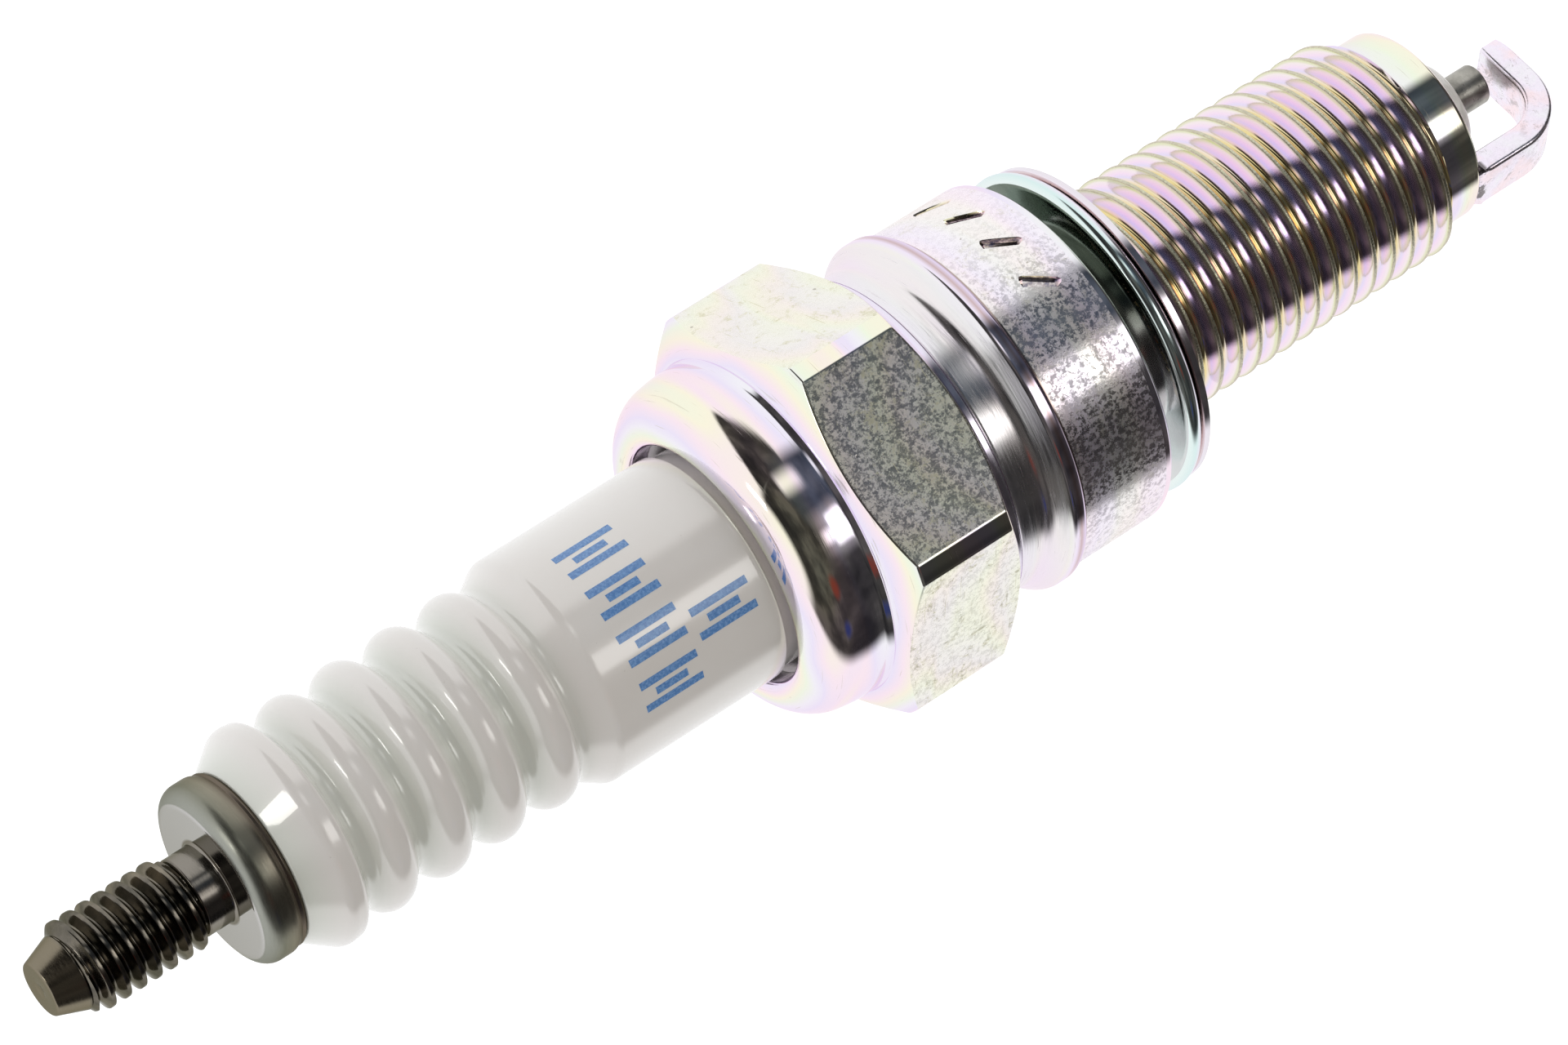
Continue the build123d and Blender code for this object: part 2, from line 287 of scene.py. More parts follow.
def lamp(nodes, vector, azimuth, elevation, core, halo):
    """Mask of a round spot: full within the core's radius, nothing beyond the halo's, in degrees."""
    inputs = {0: vector, 1: direction(azimuth, elevation)}
    dot = nodes.add("ShaderNodeVectorMath", inputs, operation="DOT_PRODUCT").outputs["Value"]
    angle = nodes.math("ARCCOSINE", nodes.math("MINIMUM", dot, 1.0))
    return nodes.spread(angle, math.radians(core), math.radians(halo), 1.0, 0.0, smooth=True)


def make_world():
    """White surroundings with a dark room on the camera's side, coloured spots and four paler areas in it."""
    world = bpy.data.worlds.new("studio")
    bpy.context.scene.world = world
    world.use_nodes = True
    nodes = Nodes(world.node_tree)
    vector = nodes.add("ShaderNodeTexCoord").outputs["Generated"]
    path = nodes.add("ShaderNodeLightPath")
    room = nodes.ramp(
        nodes.noise(vector, 2.2, 3),
        (0.35, (0.022, 0.021, 0.022)),
        (0.50, (0.048, 0.045, 0.044)),
        (0.62, (0.105, 0.098, 0.092)),
    )
    bluish = nodes.ramp(
        nodes.noise(vector, 3.0, 3),
        (0.35, (0.042, 0.052, 0.068)),
        (0.65, (0.100, 0.116, 0.138)),
    )
    room = nodes.mix(lamp(nodes, vector, 12, -20, 12, 34), room, bluish)
    room = nodes.mix(lamp(nodes, vector, -50, 6, 3, 11), room, (0.17, 0.04, 0.03, 1))
    room = nodes.mix(lamp(nodes, vector, -80, 2, 2, 9), room, (0.03, 0.04, 0.14, 1))
    room = nodes.mix(path.outputs["Is Diffuse Ray"], room, (0.48, 0.46, 0.43, 1))
    dark = patch(nodes, vector, -35, -5, 69, 62, 7)
    dark = nodes.math("MAXIMUM", dark, triangle(nodes, vector, ((84, -4), (24, 48), (24, -13)), 3))
    dark = nodes.math("MAXIMUM", dark, lamp(nodes, vector, 10, -80, 18, 32))
    colour = nodes.mix(dark, (1.0, 1.0, 1.0, 1), room)
    colour = nodes.mix(patch(nodes, vector, -19, -20, 13, 14, 6), colour, (0.40, 0.38, 0.37, 1))
    colour = nodes.mix(patch(nodes, vector, -19, -24, 9, 9, 3), colour, (2.1, 2.05, 2.0, 1))
    colour = nodes.mix(patch(nodes, vector, -21, -11, 4, 5, 3), colour, (1.4, 1.37, 1.34, 1))
    colour = nodes.mix(patch(nodes, vector, 19, -4, 6, 11, 5.5), colour, (0.95, 0.95, 0.95, 1))
    colour = nodes.mix(path.outputs["Is Camera Ray"], colour, (1.0, 1.0, 1.0, 1))
    background = nodes.add("ShaderNodeBackground", {"Color": colour, "Strength": 1.0})
    nodes.add("ShaderNodeOutputWorld", {"Surface": background})


def make_lamp():
    """Small softbox near the stud end, which shows in the glaze of the head and the ribs."""
    light = bpy.data.lights.new("softbox", "AREA")
    light.shape = "RECTANGLE"
    light.size = 0.019
    light.size_y = 0.009
    light.energy = 0.0026
    light.color = (1.0, 0.98, 0.93)
    lamp_object = bpy.data.objects.new("softbox", light)
    bpy.context.scene.collection.objects.link(lamp_object)
    away = direction(35, 54)
    lamp_object.location = Vector((4.2, 0.9, 38.4)) * MM + away * 0.060
    lamp_object.rotation_euler = away.to_track_quat("Z", "Y").to_euler()
    lamp_object.visible_camera = False
    lamp_object.visible_diffuse = False


def make_floor():
    """Pale floor under the firing end. It is left out of reflections, so that they show the surroundings."""
    place = (0, 0, cad_box[0].z - 0.00005)
    bpy.ops.mesh.primitive_circle_add(vertices=96, radius=3, fill_type="NGON", location=place)
    floor = bpy.context.object
    floor.name = "floor"
    floor.visible_glossy = False
    floor.visible_diffuse = False
    floor.visible_shadow = False
    material = bpy.data.materials.new("floor_paper")
    material.use_nodes = True
    nodes = Nodes(material.node_tree)
    where = nodes.add("ShaderNodeTexCoord").outputs["Object"]
    tone = nodes.ramp(nodes.noise(where, 40, 4), (0.3, (0.42, 0.42, 0.42)), (0.7, (0.46, 0.46, 0.46)))
    inputs = {
        "Base Color": tone,
        "Roughness": 0.9,
        "Emission Color": (1, 1, 1, 1),
        "Emission Strength": 0.85,
    }
    shader = nodes.add("ShaderNodeBsdfPrincipled", inputs)
    nodes.add("ShaderNodeOutputMaterial", {"Surface": shader})
    floor.data.materials.append(material)


# ---------------------------------------------------------------- mesh helpers

def rounded(corners, closed, step=9.0):
    """Points of a section from (radius, height) or (radius, height, fillet) corners."""
    points = []
    for i, corner in enumerate(corners):
        here = Vector(corner[:2])
        fillet = corner[2] if len(corner) == 3 else 0
        if fillet == 0:
            points.append(here)
            continue
        before = (Vector(corners[i - 1][:2]) - here).normalized()
        after = (Vector(corners[(i + 1) % len(corners)][:2]) - here).normalized()
        half = before.angle(after) / 2
        centre = here + (before + after).normalized() * (fillet / math.sin(half))
        start = here + before * (fillet / math.tan(half)) - centre
        end = here + after * (fillet / math.tan(half)) - centre
        turn = start.angle_signed(end)
        count = max(2, round(math.degrees(abs(turn)) / step))
        for k in range(count + 1):
            angle = -turn * k / count
            c, s = math.cos(angle), math.sin(angle)
            points.append(centre + Vector((start.x * c - start.y * s, start.x * s + start.y * c)))
    if closed:
        points.append(points[0])
    return points


def subdivide(points, longest):
    """The same section with its long runs cut into runs no longer than longest."""
    result = [points[0]]
    for a, b in zip(points, points[1:]):
        count = max(1, math.ceil((b - a).length / longest))
        result += [a.lerp(b, k / count) for k in range(1, count + 1)]
    return result


def add_lathe(mesh, points, columns=COLUMNS, material=0):
    """Adds the surface that a section of (radius, height) points sweeps about Z."""
    rings = []
    for point in points:
        ring = []
        for i in range(columns):
            a = math.tau * i / columns
            ring.append(mesh.verts.new((point[0] * math.cos(a), point[0] * math.sin(a), point[1])))
        rings.append(ring)
    for lower, upper in zip(rings, rings[1:]):
        for i in range(columns):
            j = (i + 1) % columns
            face = mesh.faces.new((lower[i], lower[j], upper[j], upper[i]))
            face.material_index = material


def thread_section(major_r, core_r, pitch, crest_share=0.07, steps=8):
    """(offset, radius) points across one pitch of a thread with flat crests and round roots."""
    crest = pitch * crest_share
    depth = major_r - core_r
    side = [(crest * 0.7, major_r)]
    for k in range(steps):
        share = k / steps
        offset = crest + (pitch / 2 - crest) * share
        side.append((offset, core_r + depth * (0.985 - 0.985 * math.sin(math.pi / 2 * share))))
    return [(-z, r) for z, r in reversed(side)] + side + [(pitch / 2, core_r)]


def add_thread(mesh, section, bottom, top, crest_z, lead_in, columns=COLUMNS, material=0):
    """Adds a right-hand thread between two heights. Its rows follow the helix, so the crests stay sharp."""
    pitch = 2 * section[-1][0]
    core_r = section[-1][1]
    major_r = max(r for z, r in section)
    first = math.floor((bottom - crest_z) / pitch) - 2
    last = math.ceil((top - crest_z) / pitch) + 1
    rows = [(crest_z + turn * pitch + z, r) for turn in range(first, last + 1) for z, r in section]
    grid = []
    for i in range(columns):
        a = math.tau * i / columns
        column = []
        for z, r in rows:
            height = min(max(z + pitch * i / columns, bottom), top)
            inside = min(height - bottom, top - height) / lead_in
            radius = min(r, core_r + (major_r - core_r) * min(1.0, inside))
            column.append(mesh.verts.new((radius * math.cos(a), radius * math.sin(a), height)))
        grid.append(column)
    for i in range(columns):
        following = grid[(i + 1) % columns]
        shift = len(section) if i == columns - 1 else 0
        for k in range(len(rows) - 1 - shift):
            corners = (grid[i][k], following[k + shift], following[k + 1 + shift], grid[i][k + 1])
            face = mesh.faces.new(corners)
            face.material_index = material


def finish_mesh(name, mesh, materials, body="plug", sharp=32, weld=0.0004):
    """Turns a mesh in millimetres into a piece in metres that rides on a body."""
    bmesh.ops.remove_doubles(mesh, verts=mesh.verts, dist=weld)
    bmesh.ops.dissolve_degenerate(mesh, edges=mesh.edges, dist=weld)
    loose = [v for v in mesh.verts if not v.link_faces]
    bmesh.ops.delete(mesh, geom=loose, context="VERTS")
    bmesh.ops.recalc_face_normals(mesh, faces=mesh.faces)
    bmesh.ops.scale(mesh, vec=(MM, MM, MM), verts=mesh.verts)
    data = bpy.data.meshes.new(name)
    mesh.to_mesh(data)
    mesh.free()
    piece = bpy.data.objects.new(name, data)
    bpy.context.scene.collection.objects.link(piece)
    for material in materials:
        data.materials.append(material)
    data.polygons.foreach_set("use_smooth", [True] * len(data.polygons))
    data.set_sharp_from_angle(angle=math.radians(sharp))
    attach(piece, body)
    return piece


# ---------------------------------------------------------------- materials

def new_material(name):
    """An empty material, its Nodes, and object coordinates in millimetres."""
    material = bpy.data.materials.new(name)
    material.use_nodes = True
    nodes = Nodes(material.node_tree)
    where = nodes.add("ShaderNodeTexCoord").outputs["Object"]
    scaled = nodes.add("ShaderNodeVectorMath", {0: where, "Scale": 1 / MM}, operation="SCALE").outputs[0]
    return material, nodes, scaled


def close_material(nodes, colour, roughness, height=None, bump=0.0, distance=0.02, **constants):
    """Principled shader with a bump in millimetres."""
    shader = nodes.add("ShaderNodeBsdfPrincipled", {"Base Color": colour, "Roughness": roughness})
    for key, value in constants.items():
        shader.inputs[key.replace("_", " ")].default_value = value
    if height is not None:
        inputs = {"Height": height, "Strength": bump, "Distance": distance * MM}
        nodes.put(shader.inputs["Normal"], nodes.add("ShaderNodeBump", inputs))
    nodes.add("ShaderNodeOutputMaterial", {"Surface": shader})


def around(nodes, where, stretch):
    """Coordinates that follow a turned surface, with its radius and height. Round it they span stretch."""
    parts = nodes.add("ShaderNodeSeparateXYZ", {0: where})
    angle = nodes.math("ARCTAN2", parts.outputs[1], parts.outputs[0])
    squares = [nodes.math("POWER", parts.outputs[k], 2.0) for k in (0, 1)]
    radius = nodes.math("SQRT", nodes.math("ADD", *squares))
    turn_x = nodes.math("MULTIPLY", nodes.math("COSINE", angle), stretch)
    turn_y = nodes.math("MULTIPLY", nodes.math("SINE", angle), stretch)
    joined = nodes.add("ShaderNodeCombineXYZ", {0: turn_x, 1: turn_y, 2: parts.outputs[2]}).outputs[0]
    return joined, radius, parts.outputs[2]


FILM_TINTS = (
    (0.0, (0.82, 0.75, 0.96)),
    (0.2, (0.96, 0.78, 0.88)),
    (0.4, (0.96, 0.91, 0.70)),
    (0.58, (0.86, 0.94, 0.74)),
    (0.8, (0.88, 0.87, 0.95)),
    (1.0, (0.82, 0.75, 0.96)),
)


def film_colour(nodes, where, strength, base=(0.93, 0.91, 0.88, 1)):
    """Tints of a thin film on bright zinc, in soft bands that run round the part."""
    rings, radius, height = around(nodes, where, 1.2)
    drift = nodes.math("MULTIPLY", nodes.noise(rings, 0.5, 2, 0.5, 0.3), 1.6)
    depth = nodes.math("ADD", nodes.math("MULTIPLY", height, 0.30), nodes.math("MULTIPLY", radius, 0.8))
    phase = nodes.math("FRACT", nodes.math("ADD", drift, depth))
    return nodes.mix(strength, base, nodes.ramp(phase, *FILM_TINTS))


def between(nodes, value, low, high, soft):
    """Mask that is 1 where value lies from low to high."""
    rise = nodes.spread(value, low - soft, low)
    fall = nodes.spread(value, high, high + soft, 1.0, 0.0)
    return nodes.math("MULTIPLY", rise, fall)


def scratches(nodes, where, amount):
    """Mask of sparse hairline scratches in two directions."""
    masks = []
    for turn, seed in ((0.5, 3.0), (-0.9, 11.0)):
        inputs = {
            "Vector": where,
            "Rotation": (turn, turn * 0.7, turn),
            "Scale": (0.35, 0.35, 9.0),
            "Location": (seed, seed, seed),
        }
        mapped = nodes.add("ShaderNodeMapping", inputs).outputs[0]
        masks.append(nodes.spread(nodes.noise(mapped, 1.3, 2, 0.6), 0.68, 0.74, 0.0, amount))
    return nodes.math("MAXIMUM", *masks)


def smooth_plating():
    """Bright plating on turned and rolled surfaces, with turning lines on the waist and scratches, painted
    reflection bands on the lip and painted shade in the floors of the stamped marks.
    """
    material, nodes, where = new_material("plating_smooth")
    rings, radius, height = around(nodes, where, 0.35)
    on_lip = between(nodes, height, BARREL_TOP - 0.05, LIP_TOP, 0.15)
    # Lip colours by height: a film tint with painted darker reflection bands, darkest on the lip's underside.
    lip = nodes.ramp(
        nodes.spread(height, BARREL_TOP, LIP_TOP + 0.1),
        (0.0, (0.34, 0.25, 0.24)),
        (0.2, (0.80, 0.70, 0.90)),
        (0.45, (0.62, 0.47, 0.48)),
        (0.7, (0.88, 0.80, 0.94)),
        (1.0, (0.92, 0.88, 0.90)),
    )
    colour = nodes.mix(on_lip, film_colour(nodes, where, 0.8), lip)
    lines = nodes.noise(rings, 10.0, 3, 0.65)
    marks = scratches(nodes, where, 1.0)
    colour = nodes.mix(nodes.math("MULTIPLY", marks, 0.35), colour, (0.60, 0.56, 0.44, 1))
    # Painted shade: the floors of the stamped marks get a darker, mottled colour.
    deep = nodes.spread(radius, BARREL_R - 0.05, BARREL_R - 0.16)
    mark_shade_mask = nodes.math("MULTIPLY", deep, between(nodes, height, 1.0, 3.0, 0.2))
    floor = nodes.ramp(
        nodes.noise(where, 4.5, 4, 0.7),
        (0.35, (0.22, 0.22, 0.30)),
        (0.5, (0.56, 0.50, 0.50)),
        (0.62, (0.86, 0.82, 0.82)),
    )
    colour = nodes.mix(mark_shade_mask, colour, floor)
    on_waist = between(nodes, height, LIP_TOP + 0.2, WAIST_TOP, 0.3)
    colour = nodes.mix(nodes.math("MULTIPLY", on_waist, 0.7), colour, (0.86, 0.82, 0.90, 1))
    patches = nodes.spread(nodes.noise(where, 0.5, 3), 0.3, 0.7, 0.03, 0.08)
    brushed = nodes.math("MULTIPLY", nodes.spread(lines, 0.35, 0.7, 0.08, 0.22), on_waist)
    roughness = nodes.math("ADD", nodes.math("ADD", patches, brushed), nodes.math("MULTIPLY", marks, 0.2))
    relief = nodes.math("MULTIPLY", lines, nodes.spread(on_waist, 0.0, 1.0, 0.3, 1.0))
    tint = (0.97, 0.90, 0.96, 1)
    close_material(nodes, colour, roughness, relief, 0.5, 0.006, Metallic=1.0, Specular_Tint=tint)
    return material


def gasket_plating():
    """Thin plated strip of the gasket: teal on its upper fold, rose below, with specks on the torn edge."""
    material, nodes, where = new_material("plating_gasket")
    rings, radius, height = around(nodes, where, 0.8)
    lines = nodes.noise(rings, 5.0, 4, 0.6)
    colour = nodes.ramp(
        nodes.spread(height, -2.35, GASKET_TOP),
        (0.0, (0.80, 0.77, 0.80)),
        (0.28, (0.87, 0.80, 0.88)),
        (0.38, (0.86, 0.78, 0.72)),
        (0.5, (0.88, 0.83, 0.93)),
        (0.72, (0.70, 0.87, 0.86)),
        (1.0, (0.84, 0.92, 0.90)),
    )
    side = nodes.add("ShaderNodeSeparateXYZ", {0: where}).outputs[0]
    on_fold = between(nodes, radius, 6.66, 6.80, 0.08)
    shoulder = nodes.math("MULTIPLY", on_fold, nodes.spread(height, -1.4, -1.3))
    shoulder = nodes.math("MULTIPLY", shoulder, nodes.spread(side, 5.2, 6.4))
    specks = nodes.math("MULTIPLY", nodes.spread(nodes.noise(where, 4.0, 4, 0.7), 0.45, 0.6), shoulder)
    torn = nodes.ramp(nodes.noise(where, 1.5, 3), (0.4, (0.85, 0.72, 0.34)), (0.6, (0.66, 0.34, 0.26)))
    colour = nodes.mix(specks, colour, torn)
    rolled = nodes.spread(lines, 0.3, 0.7, 0.07, 0.15)
    roughness = nodes.math("ADD", rolled, nodes.math("MULTIPLY", specks, 0.25))
    tint = (0.95, 0.95, 0.97, 1)
    close_material(nodes, colour, roughness, lines, 0.2, 0.006, Metallic=1.0, Specular_Tint=tint)
    return material


def seat_plating():
    """Plating on the seat face and neck, with painted shade: darker on one side of the plug, where the gap
    under the barrel lies in shadow.
    """
    material, nodes, where = new_material("plating_seat")
    rings = around(nodes, where, 0.6)[0]
    lines = nodes.noise(rings, 7.0, 4, 0.6)
    side = nodes.add("ShaderNodeSeparateXYZ", {0: where}).outputs[1]
    # Painted shade: the lit colour on the -Y side, a darker shaded colour on the +Y side.
    painted_lit_side = nodes.ramp(lines, (0.3, (0.74, 0.69, 0.71)), (0.7, (0.88, 0.82, 0.84)))
    painted_shade_side = nodes.ramp(lines, (0.3, (0.14, 0.16, 0.13)), (0.7, (0.24, 0.26, 0.22)))
    colour = nodes.mix(nodes.spread(side, -4.2, 0.5), painted_lit_side, painted_shade_side)
    close_material(nodes, colour, nodes.spread(lines, 0.3, 0.7, 0.10, 0.18), lines, 0.15, 0.004, Metallic=1.0)
    return material


def pebbled_plating(name, base, dullness, depth, crust):
    """Plating over a drawn surface: speckled dull grit, a yellowish crust in smears, and pits."""
    material, nodes, where = new_material(name)
    pebble = nodes.noise(where, 6.0, 2, 0.6)
    grain = nodes.noise(where, 15.0, 2, 0.5)
    smear = nodes.noise(where, 1.1, 9, 0.85, 0.4)
    pits = nodes.spread(nodes.noise(where, 2.4, 2, 0.4), 0.74, 0.77)
    mask = nodes.math("MAXIMUM", nodes.spread(smear, 0.54, 0.61), scratches(nodes, where, 0.9))
    mask = nodes.math("MULTIPLY", mask, crust)
    colour = nodes.mix(mask, film_colour(nodes, where, 0.3, base), (0.74, 0.72, 0.52, 1))
    colour = nodes.mix(nodes.math("MULTIPLY", pits, 0.6), colour, (0.30, 0.27, 0.22, 1))
    height = nodes.math("ADD", nodes.math("MULTIPLY", pebble, 0.7), nodes.math("MULTIPLY", grain, 0.6))
    height = nodes.math("SUBTRACT", height, pits)
    grit = nodes.noise(where, 4.2, 6, 0.8)
    dull = nodes.spread(grit, 0.45, 0.56, 0.12, dullness)
    roughness = nodes.math("ADD", dull, nodes.math("MULTIPLY", mask, 0.22))
    uneven = nodes.spread(nodes.noise(where, 0.9, 5, 0.75), 0.38, 0.62, 0.45, 1.0)
    tint = (0.97, 0.94, 0.95, 1)
    close_material(nodes, colour, roughness, height, uneven, depth, Metallic=1.0, Specular_Tint=tint)
    return material


def thread_plating():
    """Plating on the thread: gold in the roots, violet and rose up the flanks, and dull grainy crests."""
    material, nodes, where = new_material("plating_thread")
    rings, radius, _ = around(nodes, where, 1.0)
    drift = nodes.math("MULTIPLY", nodes.math("SUBTRACT", nodes.noise(rings, 0.8, 2), 0.5), 0.45)
    depth = nodes.math("ADD", nodes.spread(radius, THREAD_CORE_R, THREAD_MAJOR_R), drift)
    tint = nodes.ramp(
        depth,
        (0.0, (0.84, 0.70, 0.34)),
        (0.12, (0.90, 0.78, 0.62)),
        (0.30, (0.80, 0.73, 0.93)),
        (0.52, (0.93, 0.76, 0.91)),
        (0.76, (0.93, 0.84, 0.84)),
        (0.9, (0.78, 0.80, 0.56)),
    )
    crest = nodes.spread(radius, THREAD_MAJOR_R - 0.06, THREAD_MAJOR_R - 0.02)
    grain = nodes.noise(where, 11.0, 4, 0.7)
    worn = nodes.math("MULTIPLY", crest, nodes.spread(grain, 0.35, 0.6, 0.35, 1.0))
    colour = nodes.mix(worn, tint, (0.58, 0.55, 0.42, 1))
    roughness = nodes.spread(worn, 0.0, 1.0, 0.08, 0.4)
    relief = nodes.math("MULTIPLY", grain, nodes.math("ADD", crest, 0.08))
    close_material(
        nodes, colour, roughness, relief, 0.5, 0.025, Metallic=1.0, Specular_Tint=(0.97, 0.88, 0.97, 1)
    )
    return material


def glazed_ceramic():
    """White glazed ceramic, greener in the valleys between the ribs, with a few specks under a clear coat."""
    material, nodes, where = new_material("ceramic_glazed")
    _, radius, height = around(nodes, where, 1.0)
    cloud = nodes.noise(where, 0.35, 3)
    speck = nodes.spread(nodes.noise(where, 5.0, 2), 0.77, 0.8)
    body = nodes.ramp(cloud, (0.3, (0.86, 0.83, 0.805)), (0.7, (0.88, 0.86, 0.84)))
    among_ribs = nodes.spread(height, BODY_TOP, BODY_TOP + 1)
    in_valley = nodes.math("MULTIPLY", nodes.spread(radius, 4.6, 3.9), among_ribs)
    colour = nodes.mix(in_valley, body, (0.80, 0.83, 0.77, 1))
    colour = nodes.mix(nodes.math("MULTIPLY", speck, 0.3), colour, (0.40, 0.36, 0.32, 1))
    ripple = nodes.noise(where, 1.1, 2)
    constants = {"Coat_Weight": 1.0, "Coat_Roughness": 0.045, "Coat_IOR": 1.8, "IOR": 1.6}
    close_material(nodes, colour, nodes.spread(cloud, 0.3, 0.7, 0.2, 0.26), ripple, 0.12, 0.012, **constants)
    return material


def dark_steel():
    """Oiled dark steel of the terminal stud, olive on the flange's rim with painted shade towards its bottom,
    and polished on its face.
    """
    material, nodes, where = new_material("steel_dark")
    rings, radius, height = around(nodes, where, 0.4)
    lines = nodes.noise(rings, 14.0, 4, 0.6)
    cloud = nodes.noise(where, 0.9, 4, 0.6)
    at_top = between(nodes, height, FLANGE_TOP - 0.03, FLANGE_TOP + 0.02, 0.02)
    face = nodes.math("MULTIPLY", at_top, nodes.spread(radius, 1.8, 1.9))
    below_top = nodes.spread(height, FLANGE_TOP + 0.02, FLANGE_TOP - 0.05)
    rim = nodes.math("MULTIPLY", nodes.spread(radius, 2.4, 3.2), below_top)
    dark = nodes.ramp(
        cloud,
        (0.3, (0.10, 0.095, 0.08)),
        (0.5, (0.17, 0.155, 0.13)),
        (0.72, (0.27, 0.24, 0.19)),
    )
    dark = nodes.mix(nodes.spread(height, STUD_TOP, STUD_TOP + 0.15), dark, (0.24, 0.21, 0.155, 1))
    dark = nodes.mix(nodes.spread(height, STUD_BOTTOM, STUD_BOTTOM - 0.1), dark, (0.27, 0.25, 0.22, 1))
    # Painted shade: the flange's rim is olive, darker towards its bottom, under the flange.
    olive_rim_shade = nodes.ramp(
        nodes.spread(height, FLANGE_BOTTOM, FLANGE_TOP),
        (0.05, (0.18, 0.15, 0.12)),
        (0.3, (0.30, 0.28, 0.22)),
        (0.6, (0.25, 0.25, 0.20)),
        (0.95, (0.36, 0.37, 0.335)),
    )
    colour = nodes.mix(rim, dark, olive_rim_shade)
    colour = nodes.mix(face, colour, (0.60, 0.59, 0.585, 1))
    turned = nodes.spread(lines, 0.3, 0.7, 0.09, 0.20)
    rough = nodes.math("MULTIPLY", turned, nodes.spread(face, 0.0, 1.0, 1.0, 0.3))
    rough = nodes.math("ADD", rough, nodes.math("MULTIPLY", rim, 0.20))
    rough = nodes.math("ADD", rough, nodes.spread(height, STUD_TOP, STUD_TOP + 0.2, 0.0, 0.07))
    relief = nodes.math("MULTIPLY", lines, nodes.spread(face, 0.0, 1.0, 1.0, 0.15))
    tint = (0.50, 0.50, 0.45, 1)
    close_material(nodes, colour, rough, relief, 0.2, 0.008, Metallic=1.0, Specular_Tint=tint)
    return material


def electrode_alloy():
    """Dark bronze-grey nickel alloy with turning lines."""
    material, nodes, where = new_material("nickel_dark")
    rings = around(nodes, where, 0.4)[0]
    lines = nodes.noise(rings, 12.0, 4, 0.6)
    cloud = nodes.noise(where, 1.4, 4)
    colour = nodes.ramp(cloud, (0.3, (0.26, 0.25, 0.225)), (0.7, (0.48, 0.465, 0.42)))
    roughness = nodes.spread(lines, 0.3, 0.7, 0.25, 0.42)
    close_material(nodes, colour, roughness, lines, 0.4, 0.02, Metallic=1.0)
    return material


def strap_alloy():
    """Pale plated nickel strap, lavender and rose, with rolling marks, a dirty edge and a dark weld."""
    material, nodes, where = new_material("nickel_strap")
    grain = nodes.noise(where, 6.0, 4, 0.65)
    cloud = nodes.noise(where, 0.8, 3)
    height = nodes.add("ShaderNodeSeparateXYZ", {0: where}).outputs[2]
    dirt = nodes.spread(nodes.noise(where, 2.6, 5, 0.7, 1.0), 0.60, 0.68)
    spots = nodes.spread(nodes.noise(where, 1.6, 4, 0.7), 0.47, 0.56)
    weld = nodes.math("MULTIPLY", nodes.spread(height, -REACH - 0.4, -REACH - 0.15), spots)
    above_arm = nodes.spread(height, STRAP_ARM_Z + 0.35, STRAP_ARM_Z + 0.5)
    smudge = nodes.math("MULTIPLY", above_arm, nodes.spread(height, -21.2, -22.2))
    blotches = nodes.spread(nodes.noise(where, 1.8, 5, 0.75, 0.6), 0.53, 0.62)
    dirt = nodes.math("MAXIMUM", dirt, nodes.math("MULTIPLY", smudge, blotches))
    colour = nodes.ramp(
        cloud,
        (0.35, (0.98, 0.82, 0.87)),
        (0.5, (0.93, 0.86, 0.97)),
        (0.65, (0.92, 0.90, 0.95)),
    )
    colour = nodes.mix(nodes.math("MULTIPLY", dirt, 0.55), colour, (0.40, 0.36, 0.36, 1))
    colour = nodes.mix(nodes.spread(weld, 0.2, 0.7, 0.0, 0.9), colour, (0.16, 0.14, 0.14, 1))
    roughness = nodes.spread(grain, 0.3, 0.7, 0.14, 0.3)
    close_material(nodes, colour, roughness, grain, 0.35, 0.02, Metallic=1.0)
    return material


def blue_ink():
    """Printed ink with small gaps."""
    material, nodes, where = new_material("ink_blue")
    dots = nodes.noise(where, 9.0, 3, 0.6)
    colour = nodes.ramp(dots, (0.35, (0.10, 0.25, 0.60)), (0.65, (0.20, 0.40, 0.75)))
    roughness = nodes.spread(dots, 0.3, 0.7, 0.2, 0.32)
    close_material(nodes, colour, roughness, dots, 0.1, 0.01, Coat_Weight=0.7, Coat_Roughness=0.05)
    return material


def granular(name, low, high, scale, roughness, metallic=0.0, bump=0.4):
    """A simple grained finish for the pieces packed inside."""
    material, nodes, where = new_material(name)
    grain = nodes.noise(where, scale, 5, 0.65)
    cloud = nodes.noise(where, scale * 0.15, 3)
    mottled = nodes.ramp(grain, (0.3, low), (0.7, high))
    colour = nodes.mix(nodes.math("MULTIPLY", cloud, 0.5), mottled, (*low, 1))
    rough = nodes.spread(grain, 0.3, 0.7, roughness - 0.08, roughness + 0.08)
    close_material(nodes, colour, rough, grain, bump, 0.03, Metallic=metallic)
    return material


# ---------------------------------------------------------------- pieces

